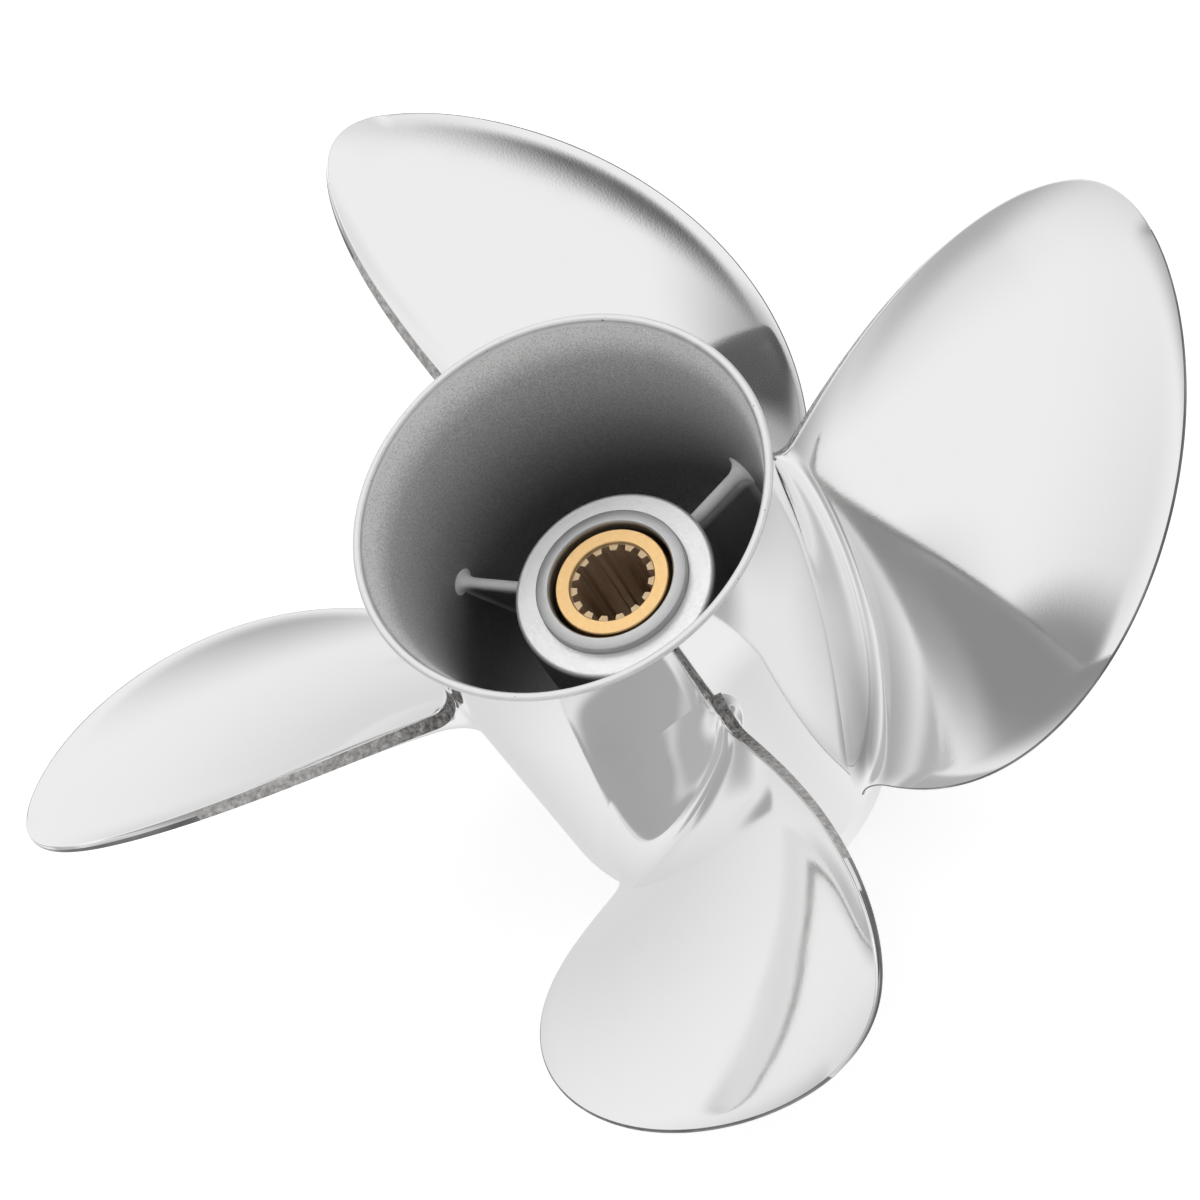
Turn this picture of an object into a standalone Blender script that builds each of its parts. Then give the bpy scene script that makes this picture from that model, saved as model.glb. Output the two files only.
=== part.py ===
"""Four-blade outboard propeller with its exhaust through the hub, in polished stainless steel.

The shaft axis is Z and +Z points aft. The forward rim stands on Z = 0. Lengths are in metres
and angles in degrees. The blades, hub, ribs and inner hub are one casting on the real thing;
here they are separate solids that meet with a hairline gap.
"""

import math

import bmesh
import bpy
from mathutils import Matrix, Vector

# Hairline between neighbouring solids, and the distance below which points are merged
GAP = 0.0003
MERGE = 0.00001

# Outer hub: a straight barrel with a stepped-in forward rim and a flared aft end
HUB_LENGTH = 0.170
BARREL_RADIUS = 0.0566
BARREL_BORE = 0.0520
BARREL_TOP = 0.1270
RIM_RADIUS = 0.0537
RIM_BORE = 0.0500
RIM_HEIGHT = 0.0150
RIM_EDGE = 0.0012
LIP_BORE = 0.0584
LIP_RADIUS = 0.0608
LIP_EDGE = 0.0007
FLARE_STEPS = 7
FLARE_POWER = 2.2
FLARE_BORE_POWER = 1.15
HUB_SEGMENTS = 64

# Inner hub: a tube with a rounded aft end, and the machined collar that stands on its face
TUBE_RADIUS = 0.0308
TUBE_BORE = 0.0272
TUBE_BOTTOM = 0.0060
TUBE_EDGE = 0.0010
FACE_HEIGHT = 0.1210
FACE_BORE = 0.0192
FACE_ROUND = 0.0026
FACE_STEPS = 4
SHOULDER_BOTTOM = 0.1145
COLLAR_RADIUS = 0.0228
COLLAR_BORE = 0.0188
COLLAR_TOP = 0.1240
COLLAR_CHAMFER = 0.0007
INNER_SEGMENTS = 48

# Rubber bush and the splined brass sleeve that it grips
BUSH_BOTTOM = 0.0120
BUSH_TOP = 0.1100
SLEEVE_RADIUS = 0.0172
SLEEVE_BOTTOM = 0.0040
SLEEVE_TOP = 0.1225
SLEEVE_EDGE = 0.0005
COUNTERBORE_RADIUS = 0.01285
COUNTERBORE_DEPTH = 0.0010
TOOTH_TIP_RADIUS = 0.01075
GROOVE_RADIUS = 0.0126
SPLINE_TEETH = 15
GROOVE_HALF_ANGLE = 5.0
GROOVE_MOUTH_HALF_ANGLE = 7.4
BROACH_CORE_RADIUS = 0.0102

# Ribs across the exhaust passage. The angles are those of the aft edge, and the twist is how
# far a rib turns clockwise, seen from aft, on its way forward.
RIB_ANGLES = (16.0, 136.5, 256.0)
RIB_THICKNESS = 0.0040
RIB_FOOT_WIDTH = 0.0095
RIB_FOOT_LENGTH = 0.0035
RIB_BOTTOM = 0.0200
RIB_TOP = 0.1145
RIB_STEPS = 4
RIB_TWIST = 33.0
RIB_LEVELS = 8

# Blades: outline angles and heights are those of the face that shows from aft
BLADE_COUNT = 4
TIP_RADIUS = 0.1779
TIP_ANGLE = -8.0
TRAILING_ANGLE = 5.2
LEADING_ANGLE = -59.0
TRAILING_POWERS = (4.0, 0.45)
LEADING_POWERS = (2.0, 0.70)
ROOT_PITCH = 0.558
TIP_PITCH = 0.595
RAKE_ROOT = 0.1145
RAKE_RISE = 0.0624
RAKE_BOW = -0.0116
HOLLOW = 0.018
ROOT_THICKNESS = 0.0095
TIP_THICKNESS = 0.0026
TRAILING_THICKNESS = (0.0052, 0.0014)
LEADING_THICKNESS = (0.0016, 0.0009)
THICKEST_PLACE = 0.42
ROOT_FILLET = 0.0110
TRAILING_FILLET_SHARE = 1.2
LEADING_FILLET_SHARE = 0.55
BURIED_RADIUS = 0.0500
FILLET_STATIONS = 5
SPAN_STATIONS = 13
CHORD_STEPS = 10
LAST_STATION = 0.9994
SHARP_ANGLE = 35.0


def round_points(centre, radius, first, last, steps):
    """Points on an arc from one angle to another, both included."""
    points = []
    for step in range(steps + 1):
        angle = math.radians(first + (last - first) * step / steps)
        points.append((centre[0] + radius * math.cos(angle), centre[1] + radius * math.sin(angle)))
    return points


def polar(radius, angle):
    """A flat point at a radius and an angle in degrees."""
    return (radius * math.cos(math.radians(angle)), radius * math.sin(math.radians(angle)))


def make_material(name, color, metallic, roughness):
    """A plain Principled material."""
    material = bpy.data.materials.new(name)
    material.use_nodes = True
    shader = material.node_tree.nodes["Principled BSDF"]
    shader.inputs["Base Color"].default_value = (*color, 1.0)
    shader.inputs["Metallic"].default_value = metallic
    shader.inputs["Roughness"].default_value = roughness
    return material


def make_collection(name):
    """A new collection in the scene."""
    collection = bpy.data.collections.new(name)
    bpy.context.scene.collection.children.link(collection)
    return collection


def add_object(name, data, collection, material=None):
    """Put a mesh or curve in the scene as an object."""
    obj = bpy.data.objects.new(name, data)
    collection.objects.link(obj)
    if material:
        data.materials.append(material)
    return obj


def turned(name, profile, segments, collection, material=None, closed=True):
    """Turn a profile of (radius, height) points round Z. Its outer side runs downwards."""
    mesh = bpy.data.meshes.new(name)
    count = len(profile)
    edges = [(place, place + 1) for place in range(count - 1)]
    if closed:
        edges.append((count - 1, 0))
    mesh.from_pydata([(radius, 0.0, height) for radius, height in profile], edges, [])
    obj = add_object(name, mesh, collection, material)
    screw = obj.modifiers.new("Turn", "SCREW")
    screw.angle = math.tau
    screw.steps = segments
    screw.render_steps = segments
    screw.use_merge_vertices = True
    screw.merge_threshold = MERGE
    screw.use_smooth_shade = True
    return obj


def as_cutter(obj):
    """Mark an object as a tool that only cuts."""
    obj.hide_render = True
    obj.display_type = "WIRE"
    return obj


def cut(obj, cutter):
    """Take a cutter's volume away from an object."""
    boolean = obj.modifiers.new("Cut", "BOOLEAN")
    boolean.operation = "DIFFERENCE"
    boolean.object = cutter


def flare_fraction(height):
    """How far up the flare a height is, from 0 at its foot to 1 at the lip."""
    return max(0.0, (height - BARREL_TOP) / (HUB_LENGTH - BARREL_TOP))


def flare_radius(height):
    """Outer radius of the flared end at a height."""
    return BARREL_RADIUS + (LIP_RADIUS - BARREL_RADIUS) * flare_fraction(height) ** FLARE_POWER


def flare_bore(height):
    """Inner radius of the flared end at a height."""
    return BARREL_BORE + (LIP_BORE - BARREL_BORE) * flare_fraction(height) ** FLARE_BORE_POWER


def flare_heights(bottom):
    """Heights of the rings that shape the flare, lip edge first."""
    top = HUB_LENGTH - LIP_EDGE
    return [top + (bottom - top) * step / FLARE_STEPS for step in range(FLARE_STEPS + 1)]


def make_outer_hub(collection, material):
    """The straight barrel that carries the blades, with its forward rim."""
    profile = [
        (BARREL_RADIUS, BARREL_TOP),
        (BARREL_RADIUS, RIM_HEIGHT + RIM_EDGE),
        (BARREL_RADIUS - RIM_EDGE, RIM_HEIGHT),
        (RIM_RADIUS, 0.0),
        (RIM_BORE, 0.0),
        (BARREL_BORE, RIM_HEIGHT),
        (BARREL_BORE, BARREL_TOP),
    ]
    return turned("outer_hub", profile, HUB_SEGMENTS, collection, material)


def make_exhaust_flare(collection, material):
    """The flared aft end of the hub, with a flat lip."""
    bottom = BARREL_TOP + GAP
    heights = flare_heights(bottom)
    profile = [(LIP_RADIUS - LIP_EDGE, HUB_LENGTH)]
    profile += [(flare_radius(height), height) for height in heights]
    profile += [(flare_bore(height), height) for height in reversed(heights)]
    profile.append((LIP_BORE + LIP_EDGE, HUB_LENGTH))
    return turned("exhaust_flare", profile, HUB_SEGMENTS, collection, material)


def make_inner_hub(collection, material):
    """The tube in the middle of the exhaust passage, closed in round the sleeve at its aft end."""
    round_centre = (TUBE_RADIUS - FACE_ROUND, FACE_HEIGHT - FACE_ROUND)
    profile = round_points(round_centre, FACE_ROUND, 90.0, 0.0, FACE_STEPS)
    profile += [
        (TUBE_RADIUS, TUBE_BOTTOM + TUBE_EDGE),
        (TUBE_RADIUS - TUBE_EDGE, TUBE_BOTTOM),
        (TUBE_BORE, TUBE_BOTTOM),
        (TUBE_BORE, SHOULDER_BOTTOM),
        (FACE_BORE, SHOULDER_BOTTOM),
        (FACE_BORE, FACE_HEIGHT),
    ]
    return turned("inner_hub", profile, INNER_SEGMENTS, collection, material)


def make_hub_collar(collection, material):
    """The machined ring that stands on the inner hub's aft face, round the sleeve."""
    bottom = FACE_HEIGHT + GAP
    profile = [
        (COLLAR_RADIUS - COLLAR_CHAMFER, COLLAR_TOP),
        (COLLAR_RADIUS, COLLAR_TOP - COLLAR_CHAMFER),
        (COLLAR_RADIUS, bottom),
        (COLLAR_BORE, bottom),
        (COLLAR_BORE, COLLAR_TOP - COLLAR_CHAMFER),
        (COLLAR_BORE + COLLAR_CHAMFER, COLLAR_TOP),
    ]
    return turned("hub_collar", profile, INNER_SEGMENTS, collection, material)


def make_rubber_bush(collection, material):
    """The cushion between the inner hub and the sleeve."""
    outer = TUBE_BORE - GAP
    inner = SLEEVE_RADIUS + GAP
    profile = [(outer, BUSH_TOP), (outer, BUSH_BOTTOM), (inner, BUSH_BOTTOM), (inner, BUSH_TOP)]
    return turned("rubber_bush", profile, INNER_SEGMENTS, collection, material)


def make_spline_broach(cutters):
    """A toothed bar that cuts the grooves of the spline."""
    pitch = 360.0 / SPLINE_TEETH
    outline = []
    for tooth in range(SPLINE_TEETH):
        middle = tooth * pitch
        outline.append(polar(BROACH_CORE_RADIUS, middle - GROOVE_MOUTH_HALF_ANGLE))
        outline.append(polar(GROOVE_RADIUS, middle - GROOVE_HALF_ANGLE))
        outline.append(polar(GROOVE_RADIUS, middle + GROOVE_HALF_ANGLE))
        outline.append(polar(BROACH_CORE_RADIUS, middle + GROOVE_MOUTH_HALF_ANGLE))
    mesh = bpy.data.meshes.new("spline_broach")
    build = bmesh.new()
    verts = [build.verts.new((x, y, 0.0)) for x, y in outline]
    face = build.faces.new(verts)
    grown = bmesh.ops.extrude_face_region(build, geom=[face])
    raised = [item for item in grown["geom"] if isinstance(item, bmesh.types.BMVert)]
    bmesh.ops.translate(build, verts=raised, vec=(0.0, 0.0, HUB_LENGTH))
    bmesh.ops.recalc_face_normals(build, faces=build.faces)
    build.to_mesh(mesh)
    build.free()
    return as_cutter(add_object("spline_broach", mesh, cutters))


def make_spline_sleeve(collection, cutters, material):
    """The brass sleeve that slides on the splined shaft, with a shallow counterbore aft."""
    profile = [
        (SLEEVE_RADIUS - SLEEVE_EDGE, SLEEVE_TOP),
        (SLEEVE_RADIUS, SLEEVE_TOP - SLEEVE_EDGE),
        (SLEEVE_RADIUS, SLEEVE_BOTTOM + SLEEVE_EDGE),
        (SLEEVE_RADIUS - SLEEVE_EDGE, SLEEVE_BOTTOM),
        (TOOTH_TIP_RADIUS, SLEEVE_BOTTOM),
        (TOOTH_TIP_RADIUS, SLEEVE_TOP - COUNTERBORE_DEPTH),
        (COUNTERBORE_RADIUS, SLEEVE_TOP - COUNTERBORE_DEPTH),
        (COUNTERBORE_RADIUS, SLEEVE_TOP),
    ]
    sleeve = turned("spline_sleeve", profile, INNER_SEGMENTS, collection, material)
    cut(sleeve, make_spline_broach(cutters))
    return sleeve


def rib_outline():
    """Plan of a rib that points along +X, spread where it meets the barrel, as flat points."""
    inner = TUBE_RADIUS + GAP
    outer = BARREL_BORE - GAP
    half = RIB_THICKNESS / 2
    spread = RIB_FOOT_WIDTH / 2 - half
    side = []
    for step in range(RIB_STEPS + 1):
        turn = math.radians(90.0 * step / RIB_STEPS)
        along = outer - RIB_FOOT_LENGTH + RIB_FOOT_LENGTH * math.sin(turn)
        side.append((along, half + spread * (1.0 - math.cos(turn))))
    side[-1] = (math.sqrt(outer ** 2 - side[-1][1] ** 2), side[-1][1])
    left = [(inner, half)] + side
    right = [(x, -y) for x, y in reversed(left)]
    return left + [(outer, 0.0)] + right


def make_rib(number, angle, collection, material):
    """One web between the inner hub and the barrel, twisted the same way as the blades."""
    name = f"rib_{number}"
    outline = rib_outline()
    build = bmesh.new()
    levels = []
    for level in range(RIB_LEVELS + 1):
        share = level / RIB_LEVELS
        height = RIB_TOP + (RIB_BOTTOM - RIB_TOP) * share
        turn = Matrix.Rotation(math.radians(angle - RIB_TWIST * share), 3, "Z")
        levels.append([build.verts.new(turn @ Vector((x, y, height))) for x, y in outline])
    for upper, lower in zip(levels, levels[1:]):
        for place in range(len(outline)):
            after = (place + 1) % len(outline)
            build.faces.new((upper[place], upper[after], lower[after], lower[place]))
    build.faces.new(levels[0])
    build.faces.new(levels[-1])
    bmesh.ops.recalc_face_normals(build, faces=build.faces)
    mesh = bpy.data.meshes.new(name)
    build.to_mesh(mesh)
    build.free()
    return add_object(name, mesh, collection, material)


def span_fraction(radius):
    """How far out on the blade a radius is, from 0 at the barrel to 1 at the tip."""
    return max(0.0, (radius - BARREL_RADIUS) / (TIP_RADIUS - BARREL_RADIUS))


def edge_angle(root_angle, powers, span):
    """Angle of an edge of the blade, which curves round to the tip as a superellipse."""
    reach = (1.0 - span ** powers[0]) ** powers[1]
    return TIP_ANGLE + (root_angle - TIP_ANGLE) * reach


def mix(pair, fraction):
    """A value between the two of a pair."""
    return pair[0] + (pair[1] - pair[0]) * fraction


def rake_height(span):
    """Height of the blade's generating line."""
    return RAKE_ROOT + RAKE_RISE * span + RAKE_BOW * span ** 2


def section_thickness(span, place):
    """Thickness of a section, with place 0 on the trailing edge and 1 on the leading edge."""
    thickest = mix((ROOT_THICKNESS, TIP_THICKNESS), span)
    if place < THICKEST_PLACE:
        edge = mix(TRAILING_THICKNESS, span)
        rise = 1.0 - (1.0 - place / THICKEST_PLACE) ** 2
    else:
        edge = mix(LEADING_THICKNESS, span)
        rise = 1.0 - ((place - THICKEST_PLACE) / (1.0 - THICKEST_PLACE)) ** 2
    return edge + (thickest - edge) * rise


def fillet_spread(radius):
    """How far the root fillet stands out from the blade at a radius."""
    depth = min(ROOT_FILLET, max(0.0, BARREL_RADIUS + ROOT_FILLET - radius))
    return ROOT_FILLET - math.sqrt(ROOT_FILLET ** 2 - depth ** 2)


def section_ring(radius):
    """Points round one section: along the aft face to the leading edge and back."""
    span = span_fraction(radius)
    advance = mix((ROOT_PITCH, TIP_PITCH), span) / math.tau
    ends = []
    for root_angle, powers in ((TRAILING_ANGLE, TRAILING_POWERS), (LEADING_ANGLE, LEADING_POWERS)):
        angle = math.radians(edge_angle(root_angle, powers, span))
        ends.append(Vector((radius * angle, rake_height(span) + advance * angle)))
    chord = ends[1] - ends[0]
    length = chord.length
    along = chord.normalized()
    forward = Vector((-along.y, along.x))
    spread = fillet_spread(radius)
    aft_side = []
    forward_side = []
    for step in range(CHORD_STEPS + 1):
        place = 0.5 - 0.5 * math.cos(math.pi * step / CHORD_STEPS)
        stretch = mix((-TRAILING_FILLET_SHARE, LEADING_FILLET_SHARE), place)
        middle = ends[0] + chord * place + along * spread * stretch
        sag = HOLLOW * length * 4.0 * place * (1.0 - place)
        aft_side.append(middle + forward * (sag - spread))
        forward_side.append(middle + forward * (sag + section_thickness(span, place) + spread))
    ring = []
    for arc, height in aft_side + forward_side[::-1]:
        turn = arc / radius
        ring.append(Vector((radius * math.cos(turn), radius * math.sin(turn), height)))
    return ring


def blade_radii():
    """Radii of the blade's sections, close together in the fillet and near the tip."""
    radii = [BURIED_RADIUS]
    for step in range(FILLET_STATIONS):
        turn = math.radians(90.0 * step / FILLET_STATIONS)
        radii.append(BARREL_RADIUS + ROOT_FILLET * (1.0 - math.cos(turn)) + GAP)
    first = math.asin(span_fraction(BARREL_RADIUS + ROOT_FILLET))
    last = math.asin(LAST_STATION)
    for step in range(SPAN_STATIONS + 1):
        span = math.sin(first + (last - first) * step / SPAN_STATIONS)
        radii.append(BARREL_RADIUS + (TIP_RADIUS - BARREL_RADIUS) * span)
    return radii


def blade_mesh(material):
    """Loft the blade through its sections."""
    mesh = bpy.data.meshes.new("blade")
    build = bmesh.new()
    rings = [[build.verts.new(point) for point in section_ring(radius)] for radius in blade_radii()]
    for lower, upper in zip(rings, rings[1:]):
        count = len(lower)
        for place in range(count):
            after = (place + 1) % count
            build.faces.new((lower[place], lower[after], upper[after], upper[place]))
    build.faces.new(rings[0])
    build.faces.new(rings[-1])
    bmesh.ops.recalc_face_normals(build, faces=build.faces)
    bmesh.ops.triangulate(build, faces=build.faces)
    build.to_mesh(mesh)
    build.free()
    mesh.materials.append(material)
    mesh.shade_smooth()
    mesh.set_sharp_from_angle(angle=math.radians(SHARP_ANGLE))
    return mesh


def make_root_cutter(cutters):
    """The hub's outer form with a hairline round it, which shapes the blades' feet."""
    profile = [(0.0, HUB_LENGTH), (flare_radius(HUB_LENGTH) + GAP, HUB_LENGTH)]
    profile += [(flare_radius(height) + GAP, height) for height in flare_heights(BARREL_TOP)]
    profile += [(BARREL_RADIUS + GAP, -RIM_HEIGHT), (0.0, -RIM_HEIGHT)]
    return as_cutter(turned("root_cutter", profile, HUB_SEGMENTS, cutters, closed=False))


def make_blades(collection, cutters, material):
    """The blades, evenly spaced, each cut to sit on the hub."""
    mesh = blade_mesh(material)
    cutter = make_root_cutter(cutters)
    for number in range(BLADE_COUNT):
        blade = bpy.data.objects.new(f"blade_{number + 1}", mesh)
        collection.objects.link(blade)
        blade.rotation_euler = (0.0, 0.0, math.tau * number / BLADE_COUNT)
        cut(blade, cutter)


def main():
    """Clear the scene and build the propeller."""
    for obj in list(bpy.data.objects):
        bpy.data.objects.remove(obj, do_unlink=True)
    parts = make_collection("outboard_propeller")
    cutters = make_collection("cutters")
    polished = make_material("polished_steel", (0.78, 0.78, 0.79), 1.0, 0.08)
    blasted = make_material("blasted_steel", (0.46, 0.46, 0.46), 1.0, 0.55)
    machined = make_material("machined_steel", (0.56, 0.56, 0.56), 1.0, 0.35)
    brass = make_material("brass", (0.85, 0.60, 0.25), 1.0, 0.30)
    rubber = make_material("rubber", (0.05, 0.03, 0.02), 0.0, 0.80)
    make_outer_hub(parts, polished)
    make_exhaust_flare(parts, polished)
    make_inner_hub(parts, blasted)
    make_hub_collar(parts, machined)
    make_rubber_bush(parts, rubber)
    make_spline_sleeve(parts, cutters, brass)
    for number, angle in enumerate(RIB_ANGLES, start=1):
        make_rib(number, angle, parts, blasted)
    make_blades(parts, cutters, polished)


main()
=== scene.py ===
"""Four-blade outboard propeller in polished stainless steel, dressed for a white studio.

Laid out as an add-on: property groups hold the sizes and colours, operators make the pieces,
and the panel lists them. Lengths are in metres, angles in degrees unless a unit says otherwise,
and +Z points aft.
"""

import math

import bpy
import numpy as np
from bpy.props import FloatProperty, FloatVectorProperty, IntProperty, PointerProperty
from bpy.types import Operator, Panel, PropertyGroup
from mathutils import Matrix, Vector


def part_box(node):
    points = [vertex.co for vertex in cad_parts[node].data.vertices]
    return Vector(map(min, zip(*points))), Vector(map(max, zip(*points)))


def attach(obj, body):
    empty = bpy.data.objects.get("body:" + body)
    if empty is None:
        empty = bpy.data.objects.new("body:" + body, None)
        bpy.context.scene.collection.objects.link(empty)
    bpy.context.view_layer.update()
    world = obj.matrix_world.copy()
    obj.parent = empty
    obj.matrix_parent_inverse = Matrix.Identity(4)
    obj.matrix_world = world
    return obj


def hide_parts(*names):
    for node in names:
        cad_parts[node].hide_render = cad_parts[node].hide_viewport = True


bl_info = {
    "name": "Outboard Propeller",
    "version": (1, 0, 0),
    "blender": (4, 5, 0),
    "location": "View3D > Sidebar > Propeller",
    "description": "Polished four-blade propeller with an exhaust hub, in a white studio",
    "category": "Add Mesh",
}

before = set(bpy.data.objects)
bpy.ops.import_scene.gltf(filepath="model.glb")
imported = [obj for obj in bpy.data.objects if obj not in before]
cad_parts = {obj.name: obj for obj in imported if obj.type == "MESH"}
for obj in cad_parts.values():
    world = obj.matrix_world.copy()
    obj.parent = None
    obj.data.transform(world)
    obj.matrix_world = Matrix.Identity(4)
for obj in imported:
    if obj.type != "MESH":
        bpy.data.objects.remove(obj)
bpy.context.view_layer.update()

HUB_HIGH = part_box("outer_hub")[1]
FLARE_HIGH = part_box("exhaust_flare")[1]
INNER_LOW, INNER_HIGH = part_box("inner_hub")
COLLAR_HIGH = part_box("hub_collar")[1]
SLEEVE_LOW, SLEEVE_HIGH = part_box("spline_sleeve")
RIB_LOW, RIB_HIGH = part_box("rib_1")

QUARTERS = (0.0, 90.0, 180.0, 270.0)

# Where most of a noise's values lie, and where they lie once ranged() has spread them out.
NOISE_SPAN, FULL_SPAN = (0.3, 0.7), (0.0, 1.0)

# Points closer than this become one. A blade's rows close up at its tip, so it takes more.
MERGE, BLADE_MERGE = 0.000002, 0.00001

# How far a piece runs into a wall, how far a hidden end and a seam's edge sink, and the bevel at
# the inner hub's forward end.
BURY, SINK, SEAM_SINK, TUBE_EDGE = 0.0006, 0.0002, 0.00005, 0.001

# Steps round the turned pieces, and the rows and columns of the others.
TURN_STEPS, INNER_STEPS = 256, 128
RIB_COLUMNS, BEAD_ROWS, WEB_ROWS = 37, 16, 24
BLADE_STEPS, FACE_ROWS, WALL_ROWS, EDGE_STEPS = 120, 50, 9, 240
SEAM_RINGS = 40


def length(name, description, default):
    """A length property."""
    return FloatProperty(name=name, description=description, default=default, unit="LENGTH", precision=5)


def color(name, description, default):
    """A colour property."""
    return FloatVectorProperty(
        name=name, description=description, default=default, size=3, min=0.0, max=1.0, subtype="COLOR"
    )


def number(name, description, default):
    """A plain number property."""
    return FloatProperty(name=name, description=description, default=default, precision=4)


def series(name, description, default, unit="NONE"):
    """A property of several numbers."""
    return FloatVectorProperty(
        name=name, description=description, default=default, size=len(default), unit=unit, precision=5
    )


class HubSizes(PropertyGroup):
    """Sizes of the outer hub, its flare and its lining."""

    radius: length("Barrel radius", "Outer radius of the straight barrel", HUB_HIGH.x)
    bore: length("Barrel bore", "Inner radius of the barrel", 0.0520)
    barrel_top: length("Barrel top", "Height where the flare begins", HUB_HIGH.z)
    top: length("Lip top", "Height of the lip's flat top", FLARE_HIGH.z)
    lip_radius: length("Lip radius", "Outer radius of the lip", 0.0608)
    lip_bore: length("Lip bore", "Inner radius of the lip", 0.0584)
    lip_round: length("Lip rounding", "Radius on the lip's edges", 0.0008)
    lip_height: length("Lip height", "Height of the linished lip", 0.0016)
    rim_height: length("Rim height", "Height of the edge line above the forward rim", 0.0150)
    rim_radius: length("Rim radius", "Outer radius at the forward end", 0.0537)
    rim_bore: length("Rim bore", "Inner radius at the forward end", 0.0500)
    rim_round: length("Rim rounding", "Radius on the barrel's lower edge line", 0.0006)
    flare_power: number("Flare curve", "How late the flare opens", 2.2)
    bore_power: number("Flare bore curve", "How late the flare's inside opens", 3.0)
    bore_taper: number("Flare bore taper", "Share of the inside's opening that is an even taper", 0.45)
    lining_skin: length("Lining skin", "Thickness of the blasted skin", 0.0010)


class InnerSizes(PropertyGroup):
    """Sizes of the inner hub, collar, bush, sleeve and ribs."""

    tube_radius: length("Tube radius", "Outer radius of the inner hub's tube", INNER_HIGH.x)
    tube_bore: length("Tube bore", "Inner radius of the inner hub's tube", 0.0272)
    face_bore: length("Face bore", "Inner radius of the inner hub's aft face", 0.0192)
    face_depth: length("Face depth", "From the aft face to the shoulder under it", 0.0065)
    face_round: length("Face rounding", "Radius on the edge of the aft face", 0.0013)
    face_radius: length("Face radius", "Outer radius of the inner hub at its aft face", 0.0303)
    draft: length("Draft", "Length over which the tube widens from its aft face", 0.0140)
    collar_bore: length("Collar bore", "Inner radius of the collar", 0.0188)
    chamfer: length("Chamfer", "Chamfer on the collar's edges", 0.0004)
    collar_foot: length("Collar foot", "Radius where the collar meets the face", 0.0003)
    counterbore: length("Counterbore radius", "Radius of the step in the sleeve's aft end", 0.01285)
    counterbore_depth: length("Counterbore depth", "Depth of that step", 0.0010)
    tooth_tip: length("Tooth tip radius", "Radius of the spline's tooth tips", 0.01075)
    groove: length("Groove radius", "Radius of the spline's grooves", 0.0126)
    teeth: IntProperty(name="Teeth", description="Teeth of the spline", default=15, min=6)
    groove_floor: number("Groove floor", "Half the angle of a groove's floor, in degrees", 5.0)
    groove_mouth: number("Groove mouth", "Half the angle of a groove's mouth, in degrees", 7.2)
    edge_break: length("Edge break", "Chamfer on the sleeve's edges", 0.0003)
    rib_angles: series("Rib angles", "Where the ribs stand, in degrees", (16.0, 136.5, 256.0))
    rib_thickness: length("Rib thickness", "Thickness of a rib", 0.0029)
    rib_bead: length("Rib bead", "Thickness of the rounded bead on a rib's aft edge", 0.0036)
    rib_twist: number("Rib twist", "How far a rib turns on its way forward, in degrees", 33.0)
    rib_foot: length("Rib foot", "Width of a rib where it meets the barrel", 0.0095)
    rib_flare: length("Rib flare", "Length over which a rib widens into the barrel", 0.0045)
    rib_top: length("Rib top", "Height of a rib's aft edge", RIB_HIGH.z)
    rib_bottom: length("Rib bottom", "Height of a rib's forward edge", RIB_LOW.z)


class BladeSizes(PropertyGroup):
    """Sizes of a blade. A series runs from the root to the tip, unless it says otherwise."""

    tip_radius: length("Tip radius", "Radius of the tip circle", 0.1778)
    middle: series("Middle line", "Angles of the middle line, in degrees", (-27.6, -26.0, -22.0, -7.7))
    half: series("Half width", "Half widths before the tip's rounding, in degrees", (30.6, 38.6, 42.9, 35.8))
    height: series("Rake line", "Heights of the generating line", (0.1128, 0.1331, 0.1552, 0.1652), "LENGTH")
    pitch: series("Pitch", "Pitch at the root and at the tip", (0.550, 0.602), "LENGTH")
    hollow: series("Hollow", "Depth of the aft face's hollow, root and tip", (0.0002, 0.0002), "LENGTH")
    crown: length("Crown", "Extra thickness in the middle of the root", 0.0034)
    trailing: series("Trailing edge", "Its thickness", (0.0046, 0.0043, 0.0042, 0.0018), "LENGTH")
    leading: series("Leading edge", "Its thickness, root and tip", (0.0018, 0.0016), "LENGTH")
    corner: length("Corner", "Radius on the trailing edge's corners", 0.0005)
    cup: length("Cup", "How far the trailing edge curls aft", 0.0011)
    cup_width: length("Cup width", "Width of the curl", 0.0110)
    roll: length("Roll", "How far the leading edge rolls forward", 0.0005)
    roll_width: length("Roll width", "Width of the roll", 0.0070)
    buried: length("Buried root", "Depth of the root inside the barrel's wall", 0.0020)
    fillet_height: length("Fillet height", "How far the root fillet climbs the blade", 0.0095)
    fillet_aft: series(
        "Aft fillet", "Reach of the fillet on the aft face, trailing to leading",
        (0.024, 0.032, 0.018, 0.008), "LENGTH",
    )
    fillet_forward: series(
        "Forward fillet", "Reach of the fillet on the forward face, trailing to leading",
        (0.0035, 0.0045, 0.008, 0.008), "LENGTH",
    )
    fillet_ends: series("End fillets", "Reach at the trailing and leading ends", (0.015, 0.006), "LENGTH")
    root_lift: length("Root lift", "How far the trailing root turns aft", 0.0080)
    ground_share: number("Ground share", "How far out the trailing edge is left rough ground", 0.62)
    seam_angles: series("Seam angles", "Angles at the lip and at the root, in degrees", (3.7, 5.5))
    seam_heights: series("Seam heights", "Heights at the lip and at the root", (0.1684, 0.1325), "LENGTH")
    seam_width: length("Seam width", "Half the width of the mould seam at the root", 0.00029)
    seam_rise: length("Seam rise", "How far the mould seam stands out", 0.00045)


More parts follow.
